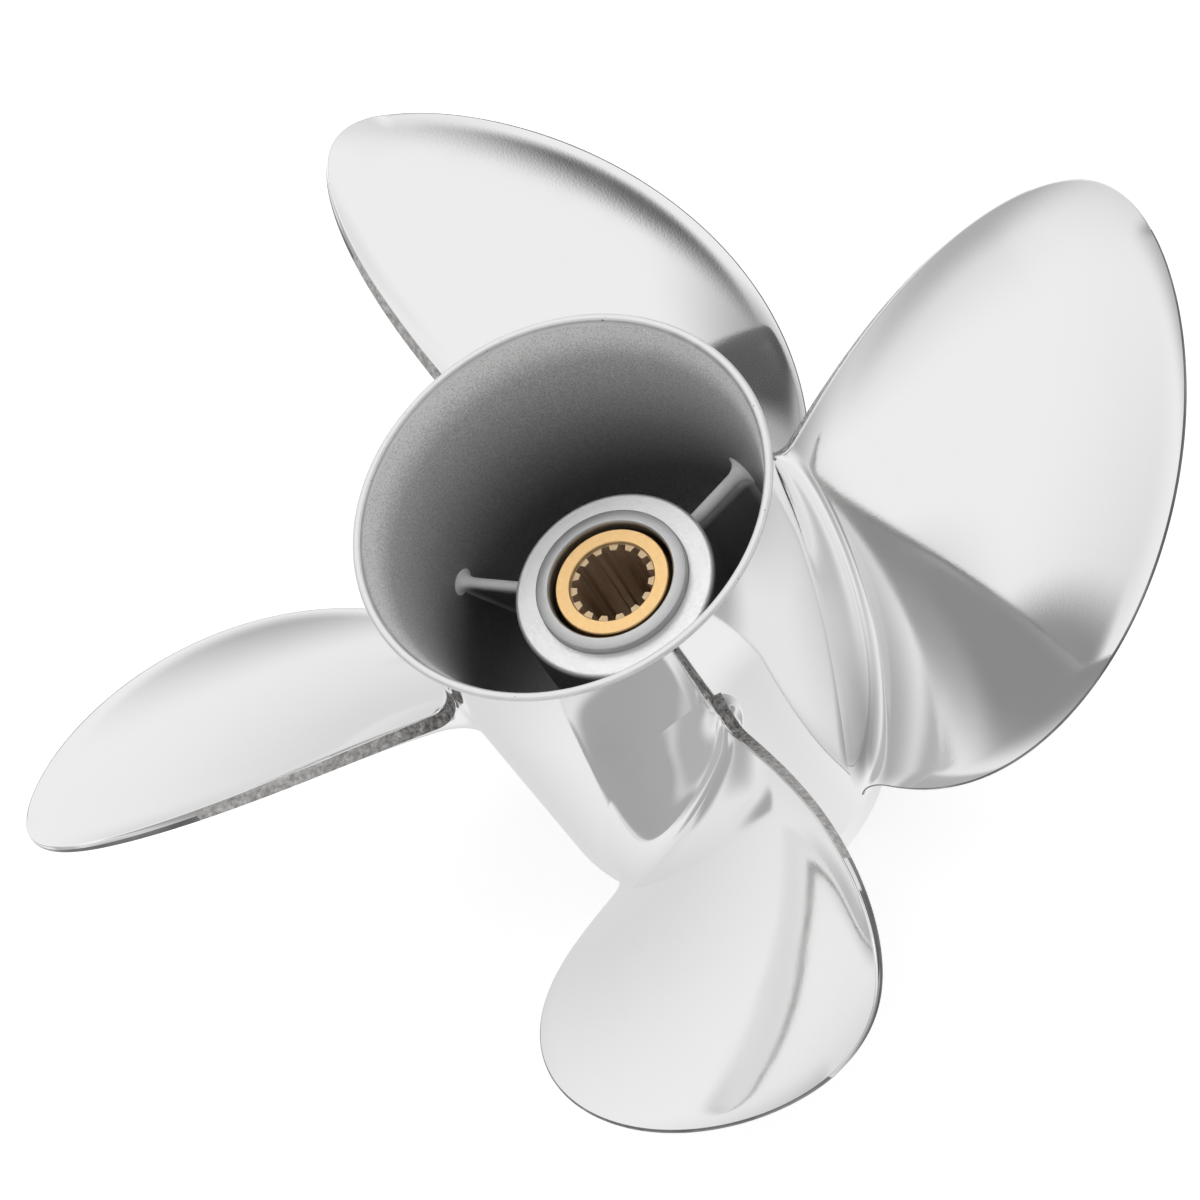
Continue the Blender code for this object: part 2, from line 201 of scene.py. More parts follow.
class FinishColors(PropertyGroup):
    """Colours of the finishes."""

    polished: color("Mirror polish", "Mirror-polished casting", (0.92, 0.92, 0.92))
    satin: color("Satin lip", "Linished lip", (0.87, 0.87, 0.87))
    ground: color("Ground edge", "Rough ground trailing edges", (0.42, 0.41, 0.40))
    # Painted reflection: the rim's dark colour stands in for the dark line that its rounded edge reflects.
    buffed: color("Buffed edge", "Narrow buffed rim of the blades", (0.25, 0.25, 0.25))
    blasted: color("Blasted lip", "Sand-blasted inside, near the lip", (0.96, 0.96, 0.96))
    # Painted shade: the dark colour laid deep inside the hub, on the inner hub's side and on the rib webs,
    # where shade falls.
    sooted: color("Blasted depth", "Sand-blasted inside, deep down", (0.19, 0.19, 0.193))
    cast: color("Cast face", "Light grainy aft face and ribs", (0.96, 0.96, 0.96))
    turned: color("Turned steel", "Turned collar", (0.62, 0.62, 0.62))
    brass: color("Brass", "Turned brass face", (0.82, 0.55, 0.26))
    tooth: color("Tooth ends", "Paler brass at the ends of the teeth", (0.66, 0.50, 0.31))
    spline: color("Spline", "Oiled brass in the splined bore", (0.74, 0.60, 0.46))
    rubber: color("Rubber", "Bush", (0.045, 0.026, 0.018))


class StudioSettings(PropertyGroup):
    """The studio round the propeller."""

    focal: number("Lens", "Focal length in millimetres on a 36 mm sensor", 77.8)
    sky: number("Surround", "Brightness of the white surround", 0.92)
    floor: color("Floor", "Pale floor", (0.93, 0.93, 0.93))
    glow: number("Floor glow", "Light from the floor, as on a light table", 0.50)


SETTINGS = {
    "propeller_hub": HubSizes,
    "propeller_inner": InnerSizes,
    "propeller_blade": BladeSizes,
    "propeller_finish": FinishColors,
    "propeller_studio": StudioSettings,
}


def bezier(values, place):
    """A smooth run through control values, for places from 0 to 1."""
    last = len(values) - 1
    place = np.asarray(place, float)
    return sum(
        math.comb(last, index) * (1 - place) ** (last - index) * place ** index * value
        for index, value in enumerate(values)
    )


def arc_points(center, radius, first, last, steps):
    """Points on an arc between two angles, both included."""
    points = []
    for step in range(steps + 1):
        angle = math.radians(first + (last - first) * step / steps)
        points.append((center[0] + radius * math.cos(angle), center[1] + radius * math.sin(angle)))
    return points


def deselect():
    """Leave edit mode, with nothing selected."""
    if bpy.context.object and bpy.context.object.mode != "OBJECT":
        bpy.ops.object.mode_set(mode="OBJECT")
    bpy.ops.object.select_all(action="DESELECT")


def only(piece):
    """Select one piece and make it active."""
    deselect()
    piece.select_set(True)
    bpy.context.view_layer.objects.active = piece


def tidy_mesh(piece, sharp=35.0):
    """Leave edit mode, merge doubles, turn the faces outwards and shade by angle."""
    only(piece)
    bpy.ops.object.mode_set(mode="EDIT")
    bpy.ops.mesh.select_all(action="SELECT")
    bpy.ops.mesh.remove_doubles(threshold=MERGE)
    bpy.ops.mesh.dissolve_degenerate(threshold=MERGE)
    bpy.ops.mesh.normals_make_consistent(inside=False)
    bpy.ops.object.mode_set(mode="OBJECT")
    bpy.ops.object.shade_smooth_by_angle(angle=math.radians(sharp))
    deselect()


def spun(name, profile, steps=TURN_STEPS):
    """Draw a closed profile of (radius, height) by extruding a point, and spin it round Z."""
    deselect()
    bpy.ops.mesh.primitive_plane_add(size=0.01)
    piece = bpy.context.object
    piece.name = piece.data.name = name
    bpy.ops.object.mode_set(mode="EDIT")
    bpy.ops.mesh.merge(type="CENTER")
    bpy.ops.transform.translate(value=(profile[0][0], 0.0, profile[0][1]))
    for before, after in zip(profile, profile[1:] + profile[:1]):
        step = (after[0] - before[0], 0.0, after[1] - before[1])
        bpy.ops.mesh.extrude_region_move(TRANSFORM_OT_translate={"value": step})
    bpy.ops.mesh.select_all(action="SELECT")
    bpy.ops.mesh.remove_doubles(threshold=MERGE)
    bpy.ops.mesh.spin(steps=steps, angle=math.tau, center=(0, 0, 0), axis=(0, 0, 1))
    tidy_mesh(piece)
    return piece


def laid(name, points, slots=None, merge=MERGE):
    """Lay a grid over rows of points and merge its doubles. The piece is left in edit mode."""
    rows, across = points.shape[:2]
    deselect()
    bpy.ops.mesh.primitive_grid_add(x_subdivisions=across - 1, y_subdivisions=rows - 1, size=1.0)
    piece = bpy.context.object
    piece.name = piece.data.name = name
    piece.data.vertices.foreach_set("co", points.reshape(-1))
    if slots is not None:
        piece.data.polygons.foreach_set("material_index", slots)
    piece.data.update()
    bpy.ops.object.mode_set(mode="EDIT")
    bpy.ops.mesh.select_all(action="SELECT")
    bpy.ops.mesh.remove_doubles(threshold=merge)
    return piece


def lofted(name, rings, slots=None):
    """Lay a grid over rings of points, close it round and fill its open ends.

    Each ring has the same number of points. slots gives the material of each band between
    two rings.
    """
    loops = np.concatenate([rings, rings[:, :1]], axis=1)
    piece = laid(name, loops, None if slots is None else np.repeat(slots, rings.shape[1]))
    bpy.ops.mesh.fill_holes(sides=0)
    tidy_mesh(piece)
    return piece


def turned_copies(piece, name, angles):
    """Numbered copies of a piece, each with its own mesh, turned to the angles. The piece itself goes."""
    pieces = []
    for number, angle in enumerate(angles, start=1):
        copy = piece.copy()
        copy.data = piece.data.copy()
        copy.name = copy.data.name = name.format(number)
        copy.data.transform(Matrix.Rotation(math.radians(angle), 4, "Z"))
        bpy.context.collection.objects.link(copy)
        pieces.append(copy)
    bpy.data.objects.remove(piece)
    return pieces


def finish(piece, slot, *nodes):
    """Fix a piece to the body and hide the model's parts that it stands in for."""
    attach(piece, "root")
    if nodes:
        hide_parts(*nodes)


def fill(tree, socket, value):
    """Link a socket to another one, or give it a value of its own."""
    if isinstance(value, bpy.types.NodeSocket):
        tree.links.new(value, socket)
    else:
        socket.default_value = value


def add_node(tree, kind, output, values, **settings):
    """Add a node with its settings, fill its inputs, and give one of its outputs."""
    node = tree.nodes.new(kind)
    for name, setting in settings.items():
        setattr(node, name, setting)
    for socket, value in values.items():
        fill(tree, node.inputs[socket], value)
    return node.outputs[output]


class Nodes:
    """Short ways to add and join the nodes of a material."""

    def __init__(self, name):
        self.material = bpy.data.materials.new(name)
        self.material.use_nodes = True
        self.tree = self.material.node_tree
        self.shader = self.tree.nodes["Principled BSDF"]
        self.coords = add_node(self.tree, "ShaderNodeTexCoord", "Object", {})

    def noise(self, scale, detail=3.0, roughness=0.5, stretch=(1.0, 1.0, 1.0)):
        """Noise in the piece's own space, stretched along its axes."""
        place = add_node(self.tree, "ShaderNodeMapping", "Vector", {"Vector": self.coords, "Scale": stretch})
        values = {"Vector": place, "Scale": scale, "Detail": detail, "Roughness": roughness}
        return add_node(self.tree, "ShaderNodeTexNoise", "Fac", values)

    def ranged(self, value, low, high, new_low=0.0, new_high=1.0):
        """Map a value from one range to another."""
        values = {"Value": value, "From Min": low, "From Max": high, "To Min": new_low, "To Max": new_high}
        return add_node(self.tree, "ShaderNodeMapRange", "Result", values)

    def blend(self, value, first, second):
        """Mix two colours, or the results of other mixes, by a value."""
        values = {"A": first, "B": second, "Factor": value}
        return add_node(self.tree, "ShaderNodeMix", "Result", values, data_type="RGBA")

    def shades(self, value, tint, dark, light):
        """Mix a darker and a lighter shade of a finish's colour by a value."""
        return self.blend(value, shade(tint, dark), shade(tint, light))

    def bump(self, value, distance, strength=1.0, below=None):
        """Raise the surface by a value, on top of another bump."""
        values = {"Strength": strength, "Distance": distance, "Height": value}
        if below:
            values["Normal"] = below
        return add_node(self.tree, "ShaderNodeBump", "Normal", values)

    def grainy(self, value, tint, low, high):
        """Make a mixed colour darker and lighter by a value."""
        values = {0: tint, "Scale": self.ranged(value, 0.0, 1.0, low, high)}
        return add_node(self.tree, "ShaderNodeVectorMath", "Vector", values, operation="SCALE")

    def along(self, axis):
        """How far along an axis of the piece a point is."""
        return add_node(self.tree, "ShaderNodeSeparateXYZ", axis, {"Vector": self.coords})

    def away(self):
        """How far from the Z axis a point is."""
        values = {0: self.coords, 1: (1.0, 1.0, 0.0)}
        flat = add_node(self.tree, "ShaderNodeVectorMath", "Vector", values, operation="MULTIPLY")
        return add_node(self.tree, "ShaderNodeVectorMath", "Value", {0: flat}, operation="LENGTH")

    def use(self, socket, value):
        """Give a value to the shader, as a link or on its own socket."""
        fill(self.tree, self.shader.inputs[socket], value)

    def use_roughness(self, value, low, high, span=NOISE_SPAN):
        """Let the roughness follow a noise, or another value over its own span."""
        self.use("Roughness", self.ranged(value, *span, low, high))

    def use_round_grain(self, amount):
        """Let fine brushing run round the Z axis."""
        self.use("Anisotropic", amount)
        round_z = {"direction_type": "RADIAL", "axis": "Z"}
        self.use("Tangent", add_node(self.tree, "ShaderNodeTangent", "Tangent", {}, **round_z))

    def use_worn(self, value, tint, shades, roughness, depth, span=NOISE_SPAN):
        """Let one noise vary the colour, the roughness and the surface."""
        self.use("Base Color", self.shades(value, tint, *shades))
        self.use_roughness(value, *roughness, span)
        self.use("Normal", self.bump(value, depth))


def shade(tint, amount=1.0):
    """A finish's colour from the settings, made darker or lighter."""
    parts = getattr(bpy.context.scene.propeller_finish, tint)
    return (*(min(1.0, part * amount) for part in parts), 1.0)


def mirror_polish(nodes):
    """Mirror polish with a faint haze and very slight waves from the polishing wheel."""
    haze = nodes.noise(60.0, 4.0)
    nodes.use("Metallic", 1.0)
    nodes.use("Base Color", nodes.shades(haze, "polished", 0.99, 1.01))
    nodes.use_roughness(haze, 0.055, 0.085)
    nodes.use("Normal", nodes.bump(nodes.noise(1400.0, 2.0), 0.000004))


def satin_lip(nodes):
    """Linished lip, with fine scratches and a few pits."""
    grain = nodes.noise(1100.0, 3.0)
    patches = nodes.noise(160.0, 4.0, 0.6)
    pits = nodes.ranged(nodes.noise(900.0, 1.0), 0.745, 0.775)
    nodes.use("Metallic", 0.6)
    worn = nodes.shades(patches, "satin", 0.80, 1.08)
    nodes.use("Base Color", nodes.blend(pits, worn, shade("satin", 0.25)))
    nodes.use_roughness(patches, 0.38, 0.50)
    nodes.use("Normal", nodes.bump(pits, -0.00004, 1.0, nodes.bump(grain, 0.00003)))


def ground_edge(nodes):
    """Rough ground edge: mottled, with coarse grinding marks, darker near the root."""
    grain = nodes.noise(1400.0, 4.0, 0.6)
    patches = nodes.ranged(nodes.noise(620.0, 5.0, 0.7), 0.36, 0.66)
    near = nodes.shades(patches, "ground", 0.22, 1.2)
    beyond = nodes.shades(patches, "ground", 1.0, 1.9)
    nodes.use("Metallic", 0.9)
    nodes.use("Base Color", nodes.blend(nodes.ranged(nodes.away(), 0.062, 0.085), near, beyond))
    nodes.use_roughness(patches, 0.55, 0.30, FULL_SPAN)
    nodes.use("Normal", nodes.bump(grain, 0.00012, 1.0, nodes.bump(patches, 0.00025)))


def buffed_edge(nodes):
    """Narrow buffed rim of a blade: duller than the faces, with fine wear, and painted dark as the
    reflection its rounded edge shows.
    """
    grain = nodes.noise(1200.0, 3.0)
    worn = nodes.ranged(nodes.noise(60.0, 4.0, 0.6), 0.40, 0.70)
    nodes.use("Metallic", 1.0)
    nodes.use("Base Color", nodes.shades(worn, "buffed", 0.85, 1.6))
    nodes.use_roughness(worn, 0.34, 0.22, FULL_SPAN)
    nodes.use("Normal", nodes.bump(grain, 0.000015))


def seam_steel(nodes):
    """Mould seam: dull and dark, with a few lighter rubbed spots."""
    patches = nodes.ranged(nodes.noise(420.0, 3.0, 0.6), 0.45, 0.75)
    nodes.use("Metallic", 0.9)
    nodes.use_worn(patches, "ground", (0.22, 0.8), (0.55, 0.35), 0.0001, FULL_SPAN)


def sand_blast(nodes):
    """Sand-blasted inside: matt with a fine sparkle, light at the lip, and darkened with painted shade
    further down.
    """
    grain = nodes.noise(1500.0, 3.0, 0.7)
    patches = nodes.noise(120.0, 4.0)
    speck = nodes.ranged(nodes.noise(1900.0, 2.0), 0.35, 0.65)
    # Painted shade: below the lip the colour falls to the painted shade colour, which darkens further down.
    depth = nodes.ranged(nodes.along("Z"), 0.1550, 0.1640)
    deeper = nodes.ranged(nodes.along("Z"), 0.100, 0.156)
    low = nodes.blend(deeper, shade("sooted"), shade("sooted", 3.2))
    light = nodes.shades(patches, "blasted", 0.94, 1.06)
    blasted_with_painted_shade = nodes.blend(depth, low, light)
    nodes.use("Metallic", 0.2)
    nodes.use("Base Color", nodes.grainy(speck, blasted_with_painted_shade, 0.80, 1.2))
    nodes.use_roughness(grain, 0.42, 0.58)
    nodes.use("Normal", nodes.bump(grain, 0.00022, 0.8))


def cast_face(nodes):
    """Inner hub: light, grainy aft face, and painted shade on its side below the face."""
    grain = nodes.noise(1300.0, 3.0, 0.7)
    light = nodes.shades(nodes.noise(150.0, 3.0), "cast", 0.92, 1.04)
    # Painted shade: the side below the aft face takes a lightened painted shade colour.
    side = nodes.ranged(nodes.along("Z"), INNER_HIGH.z - 0.0022, INNER_HIGH.z - 0.0006)
    nodes.use("Metallic", 0.85)
    nodes.use("Base Color", nodes.blend(side, shade("sooted", 1.6), light))
    nodes.use_roughness(grain, 0.38, 0.52)
    nodes.use("Normal", nodes.bump(grain, 0.00010, 0.7))


def cast_rib(nodes):
    """Ribs: light and grainy on the bead, with painted shade on the web under it that lightens towards the
    barrel.
    """
    grain = nodes.noise(1300.0, 3.0, 0.7)
    # Painted shade on the web below the bead, lighter where the web meets the barrel; the bead keeps the
    # cast colour.
    low = nodes.blend(nodes.ranged(nodes.away(), 0.0495, 0.0515), shade("sooted"), shade("sooted", 2.6))
    top = nodes.shades(nodes.noise(150.0, 3.0), "cast", 0.95, 1.08)
    nodes.use("Metallic", 0.0)
    nodes.use("Base Color", nodes.blend(nodes.ranged(nodes.along("Z"), 0.1085, 0.1110), low, top))
    nodes.use_roughness(grain, 0.38, 0.52)
    nodes.use("Normal", nodes.bump(grain, 0.00010, 0.7))


def turned_steel(nodes):
    """Turned collar: fine rings round the axis."""
    rings = nodes.noise(2600.0, 2.0, 0.5, (0.0, 0.0, 1.0))
    grain = nodes.noise(900.0, 3.0)
    nodes.use("Metallic", 1.0)
    nodes.use("Base Color", nodes.shades(grain, "turned", 0.94, 1.06))
    nodes.use_roughness(grain, 0.42, 0.52)
    nodes.use("Normal", nodes.bump(rings, 0.00001, 1.0, nodes.bump(grain, 0.00002)))
    nodes.use_round_grain(0.1)


def brass_face(nodes):
    """Turned brass face of the sleeve."""
    nodes.use("Metallic", 1.0)
    nodes.use_worn(nodes.noise(800.0, 3.0), "brass", (0.96, 1.04), (0.34, 0.44), 0.000006)
    nodes.use_round_grain(0.15)


def tooth_end(nodes):
    """Paler, duller brass of the counterbore and the ends of the teeth."""
    nodes.use("Metallic", 0.9)
    nodes.use_worn(nodes.noise(900.0, 4.0, 0.6), "tooth", (0.75, 1.12), (0.34, 0.52), 0.00006)


def broached_spline(nodes):
    """Oiled brass of the splined bore, drawn along the axis."""
    drawn = nodes.noise(900.0, 3.0, 0.6, (1.0, 1.0, 0.04))
    nodes.use("Metallic", 0.8)
    nodes.use_worn(drawn, "spline", (0.75, 1.25), (0.34, 0.55), 0.00005)


def bush_rubber(nodes):
    """Matt moulded rubber."""
    nodes.use_worn(nodes.noise(600.0, 3.0), "rubber", (0.8, 1.2), (0.7, 0.85), 0.0001)


def give(piece, *finishes):
    """Put finishes on a piece in place of its own. Each is made once, under its own name, and shared."""
    if piece.data.materials:
        piece.data.materials.clear()
    for maker in finishes:
        material = bpy.data.materials.get(maker.__name__)
        if material is None:
            nodes = Nodes(maker.__name__)
            maker(nodes)
            material = nodes.material
        piece.data.materials.append(material)


def flare_share(sizes, height):
    """How far up the flare a height is."""
    return max(0.0, (height - sizes.barrel_top) / (sizes.top - sizes.barrel_top))


def flare_radius(sizes, height):
    """Outer radius of the flare at a height."""
    return sizes.radius + (sizes.lip_radius - sizes.radius) * flare_share(sizes, height) ** sizes.flare_power


def flare_bore(sizes, height):
    """Inner radius of the flare at a height."""
    share = flare_share(sizes, height)
    opening = sizes.bore_taper * share + (1.0 - sizes.bore_taper) * share ** sizes.bore_power
    return sizes.bore + (sizes.lip_bore - sizes.bore) * opening


def flare_line(sizes, radius, steps=32):
    """Heights and radii of one side of the flare, from below the lip down to the barrel."""
    top = sizes.top - sizes.lip_height
    heights = [top + (sizes.barrel_top - top) * step / steps for step in range(steps + 1)]
    return [(radius(sizes, height), height) for height in heights]


class PROPELLER_OT_hub(Operator):
    """Polished outer hub with its flare and forward rim"""

    bl_idname = "propeller.hub"
    bl_label = "Outer Hub"

    def execute(self, context):
        sizes = context.scene.propeller_hub
        wall_middle = (sizes.radius + sizes.bore) / 2
        edge = sizes.rim_height
        profile = flare_line(sizes, flare_radius)
        profile += [(sizes.radius, edge + sizes.rim_round), (sizes.radius - sizes.rim_round, edge)]
        profile += [(sizes.rim_radius, sizes.rim_round), (sizes.rim_radius - sizes.rim_round, 0.0)]
        profile += [(sizes.rim_bore + sizes.rim_round, 0.0), (wall_middle, edge)]
        profile += [(wall_middle, sizes.barrel_top), (sizes.lip_bore + sizes.lip_round, profile[0][1])]
        hub = spun("outer_hub_polished", profile)
        give(hub, mirror_polish)
        finish(hub, "polished_steel", "outer_hub", "exhaust_flare")
        return {"FINISHED"}


class PROPELLER_OT_lip(Operator):
    """Linished lip at the aft end of the flare"""

    bl_idname = "propeller.lip"
    bl_label = "Hub Lip"

    def execute(self, context):
        sizes = context.scene.propeller_hub
        soft, low = sizes.lip_round, sizes.top - sizes.lip_height
        inner_corner = (sizes.lip_bore + soft, sizes.top - soft)
        outer_corner = (sizes.lip_radius - soft, sizes.top - soft)
        profile = arc_points(inner_corner, soft, 180, 90, 6) + arc_points(outer_corner, soft, 90, 0, 6)
        profile += [(flare_radius(sizes, low), low), (flare_bore(sizes, low), low)]
        lip = spun("hub_lip", profile)
        give(lip, satin_lip)
        finish(lip, "polished_steel", "exhaust_flare")
        return {"FINISHED"}


class PROPELLER_OT_lining(Operator):
    """Sand-blasted inside of the hub, from the lip to the forward rim"""

    bl_idname = "propeller.lining"
    bl_label = "Hub Lining"

    def execute(self, context):
        sizes = context.scene.propeller_hub
        low = sizes.lining_skin * 0.2
        bore = flare_line(sizes, flare_bore)
        bore += [(sizes.bore, sizes.rim_height), (sizes.rim_bore, low)]
        back = [(radius + sizes.lining_skin, height) for radius, height in bore]
        lining = spun("hub_lining", back + bore[::-1])
        give(lining, sand_blast)
        finish(lining, "blasted_steel", "exhaust_flare")
        return {"FINISHED"}


class PROPELLER_OT_inner_hub(Operator):
    """Inner hub with its rounded aft face, and the turned collar on it"""

    bl_idname = "propeller.inner_hub"
    bl_label = "Inner Hub"

    def execute(self, context):
        sizes = context.scene.propeller_inner
        top, soft, tube = INNER_HIGH.z, sizes.face_round, sizes.tube_radius
        profile = arc_points((sizes.face_radius - soft, top - soft), soft, 90, 0, 14)
        profile += [(tube, top - sizes.draft), (tube, INNER_LOW.z + TUBE_EDGE)]
        profile += [(tube - TUBE_EDGE, INNER_LOW.z)]
        profile += [(sizes.tube_bore, INNER_LOW.z), (sizes.tube_bore, top - sizes.face_depth)]
        profile += [(sizes.face_bore, top - sizes.face_depth), (sizes.face_bore, top)]
        hub = spun("inner_hub_tube", profile, INNER_STEPS)
        give(hub, cast_face)
        finish(hub, "blasted_steel", "inner_hub")

        top, outer, low = COLLAR_HIGH.z, COLLAR_HIGH.x, INNER_HIGH.z
        cut, foot, bore = sizes.chamfer, sizes.collar_foot, sizes.collar_bore
        profile = arc_points((outer + foot, low + foot), foot, 270, 180, 6)
        profile += [(outer, top - cut * 0.6), (outer - cut, top), (bore + cut * 1.2, top)]
        profile += [(bore + cut * 0.3, top - cut * 0.8), (bore, top - cut * 1.4), (bore, low - SINK)]
        profile += [(outer + foot, low - SINK)]
        collar = spun("hub_collar_ring", profile, INNER_STEPS)
        give(collar, turned_steel)
        finish(collar, "machined_steel", "hub_collar")
        return {"FINISHED"}


def rib_side(sizes, radius, bore):
    """Half widths and heights down one side of a rib: its bead, then its web. One row per radius.

    The web widens less than the bead, and its forward end is narrowed.
    """
    web_widening, end_width = 0.45, 0.6
    foot = np.clip((radius - bore + sizes.rib_flare) / sizes.rib_flare, 0.0, 1.0)
    spread = (sizes.rib_foot - sizes.rib_bead) / 2 * (1.0 - np.sqrt(1.0 - foot ** 2))
    bead = (sizes.rib_bead / 2 + spread)[:, None]
    web = (sizes.rib_thickness / 2 + web_widening * spread)[:, None]
    turn = np.linspace(math.pi / 2, -np.arccos(web / bead)[:, 0], BEAD_ROWS, axis=1)
    middle = sizes.rib_top - sizes.rib_bead / 2
    half, height = bead * np.cos(turn), middle + bead * np.sin(turn)
    half[:, 0] = 0.0
    deeper = np.linspace(height[:, -1], sizes.rib_bottom, WEB_ROWS + 1, axis=1)[:, 1:]
    half = np.concatenate([half, np.repeat(web, WEB_ROWS, axis=1), web * end_width], axis=1)
    return half, np.concatenate([height, deeper, deeper[:, -1:] - SINK], axis=1)


class PROPELLER_OT_ribs(Operator):
    """Twisted ribs across the exhaust passage, each with a bead that flares into the barrel"""

    bl_idname = "propeller.ribs"
    bl_label = "Ribs"

    def execute(self, context):
        sizes = context.scene.propeller_inner
        bore = context.scene.propeller_hub.bore
        inner, outer = sizes.tube_radius - BURY, bore + BURY
        radius = inner + (outer - inner) * np.linspace(0.0, 1.0, RIB_COLUMNS) ** 0.8
        half, height = rib_side(sizes, radius, bore)
        depth = (sizes.rib_top - height) / (sizes.rib_top - sizes.rib_bottom)
        aside = np.degrees(np.arcsin(half / radius[:, None]))
        around = radius[:, None] + 0.0 * height
        left = on_cylinder(around, aside - sizes.rib_twist * depth, height)
        right = on_cylinder(around, -aside - sizes.rib_twist * depth, height)
        rib = lofted("rib", np.concatenate([left, right[:, :0:-1]], axis=1))
        give(rib, cast_rib)
        for number, piece in enumerate(turned_copies(rib, "rib_{}_cast", sizes.rib_angles), start=1):
            finish(piece, "blasted_steel", f"rib_{number}")
        return {"FINISHED"}


def spline_outline(sizes):
    """Angles and radii round the splined bore, ten points for each tooth."""
    pitch = 360.0 / sizes.teeth
    floor, mouth = sizes.groove_floor, sizes.groove_mouth
    places = (-0.5 * pitch, -0.4 * pitch, -mouth, -floor, -0.5 * floor)
    places += (0.0, 0.5 * floor, floor, mouth, 0.4 * pitch)
    angles = np.array([tooth * pitch + place for tooth in range(sizes.teeth) for place in places])
    away = np.abs(np.tile(places, sizes.teeth))
    slope = np.clip((away - floor) / (mouth - floor), 0.0, 1.0)
    return angles, sizes.groove + (sizes.tooth_tip - sizes.groove) * slope


class PROPELLER_OT_sleeve(Operator):
    """Brass spline sleeve and the rubber bush round it"""

    bl_idname = "propeller.sleeve"
    bl_label = "Spline Sleeve"

    def execute(self, context):
        sizes = context.scene.propeller_inner
        angles, spline = spline_outline(sizes)
        outer, step, cut = SLEEVE_HIGH.x, sizes.counterbore, sizes.edge_break
        top, low = SLEEVE_HIGH.z, SLEEVE_LOW.z
        floor = top - sizes.counterbore_depth
        rows = [(outer - cut, low), (outer, low + cut), (outer, top - cut), (outer - cut, top)]
        rows += [(step + cut, top), (step, top - cut), (step, floor)]
        rows += [(spline + cut * 0.5, floor), (spline, floor - cut * 0.5), (spline, low)]
        rings = [on_cylinder(radius + 0.0 * angles, angles, height) for radius, height in rows]
        rings = np.stack(rings + rings[:1])
        brass, tooth, bore = 0, 1, 2
        slots = [brass] * 5 + [tooth] * 3 + [bore, brass]
        sleeve = lofted("spline_sleeve_brass", rings, slots)
        give(sleeve, brass_face, tooth_end, broached_spline)
        finish(sleeve, "brass", "spline_sleeve")
        give(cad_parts["rubber_bush"], bush_rubber)
        return {"FINISHED"}


def smooth_step(value):
    """Ease from 0 to 1."""
    value = np.clip(value, 0.0, 1.0)
    return value * value * (3.0 - 2.0 * value)


def blade_spans(sizes, span):
    """Span shares of the edge and of the middle line, from the buried root to the tip.

    Both start with the same close steps, which carry the root fillet and a little more. After
    them the edge goes on to the tip, and the middle line stops below it.
    """
    knee, top, spare = 0.36, 0.70, 0.004
    climb = np.linspace(0.0, 1.0, BLADE_STEPS + 1)
    low = -sizes.buried / span
    root = (sizes.fillet_height + spare) / span
    far = np.sin(np.clip((climb - knee) / (1.0 - knee), 0.0, 1.0) * math.pi / 2)
    near = low + (root - low) * (climb / knee) ** 2
    edge = np.where(climb < knee, near, root + (1.0 - root) * far)
    middle = np.where(climb < knee, near, root + (top - root) * far)
    return edge, middle


def blade_surface(sizes, radius, share, angle):
    """The generating surface: its heights, and the cosine and sine of its pitch angle."""
    pitch = bezier(sizes.pitch, share)
    height = bezier(sizes.height, share) + pitch * angle / 360.0
    steep = np.arctan2(pitch, math.tau * radius)
    return height, np.cos(steep), np.sin(steep)


def on_cylinder(radius, angle, height):
    """A point from its radius, its angle in degrees and its height."""
    turn = np.radians(angle)
    return np.stack([radius * np.cos(turn), radius * np.sin(turn), height + 0.0 * turn], axis=-1)


def edge_distance(sizes, hub_radius, points, side):
    """Distance of each point to the trailing (1) or leading (-1) edge."""
    share = 1.0 - np.linspace(1.0, 0.0, EDGE_STEPS + 1) ** 2
    angle = bezier(sizes.middle, share) + side * bezier(sizes.half, share) * np.sqrt(1.0 - share)
    radius = hub_radius + (sizes.tip_radius - hub_radius) * share
    height, _, _ = blade_surface(sizes, radius, share, angle)
    line = on_cylinder(radius, angle, height)
    start, step = line[:-1], line[1:] - line[:-1]
    long = (step ** 2).sum(-1)
    gap = np.zeros(points.shape[:-1])
    for index, row in enumerate(points):
        way = row[:, None, :] - start
        along = np.clip((way * step).sum(-1) / long, 0.0, 1.0)
        gap[index] = np.linalg.norm(way - along[..., None] * step, axis=-1).min(axis=1)
    return gap


def blade_columns(sizes, span):
    """Span shares of the edge and of the middle line at each column, its side and its bluntness.

    The side is 1 at the trailing edge and -1 at the leading edge. The bluntness is 1 along the
    trailing edge and falls to 0 just past the tip.
    """
    blunt_end, blunt_fall = 0.05, 0.22
    around = np.linspace(-1.0, 1.0, 2 * BLADE_STEPS + 1)[:, None]
    order = np.concatenate([np.arange(BLADE_STEPS + 1), np.arange(BLADE_STEPS)[::-1]])
    edge, middle = (share[order][:, None] for share in blade_spans(sizes, span))
    side = np.where(around <= 0.0, 1.0, -1.0)
    return edge, middle, side, smooth_step((blunt_end - around) / blunt_fall)


def blade_rows():
    """How far out each row lies, and how far over the edge, both from 0 to 1."""
    out = 1.0 - (1.0 - np.linspace(0.0, 1.0, FACE_ROWS)) ** 1.5
    wall = np.linspace(0.0, 1.0, WALL_ROWS + 2)[1:-1]
    rows_out = np.concatenate([out, np.ones(WALL_ROWS), out[::-1]])
    rows_wall = np.concatenate([np.zeros(FACE_ROWS), wall, np.ones(FACE_ROWS)])
    return rows_out[None, :], rows_wall[None, :]


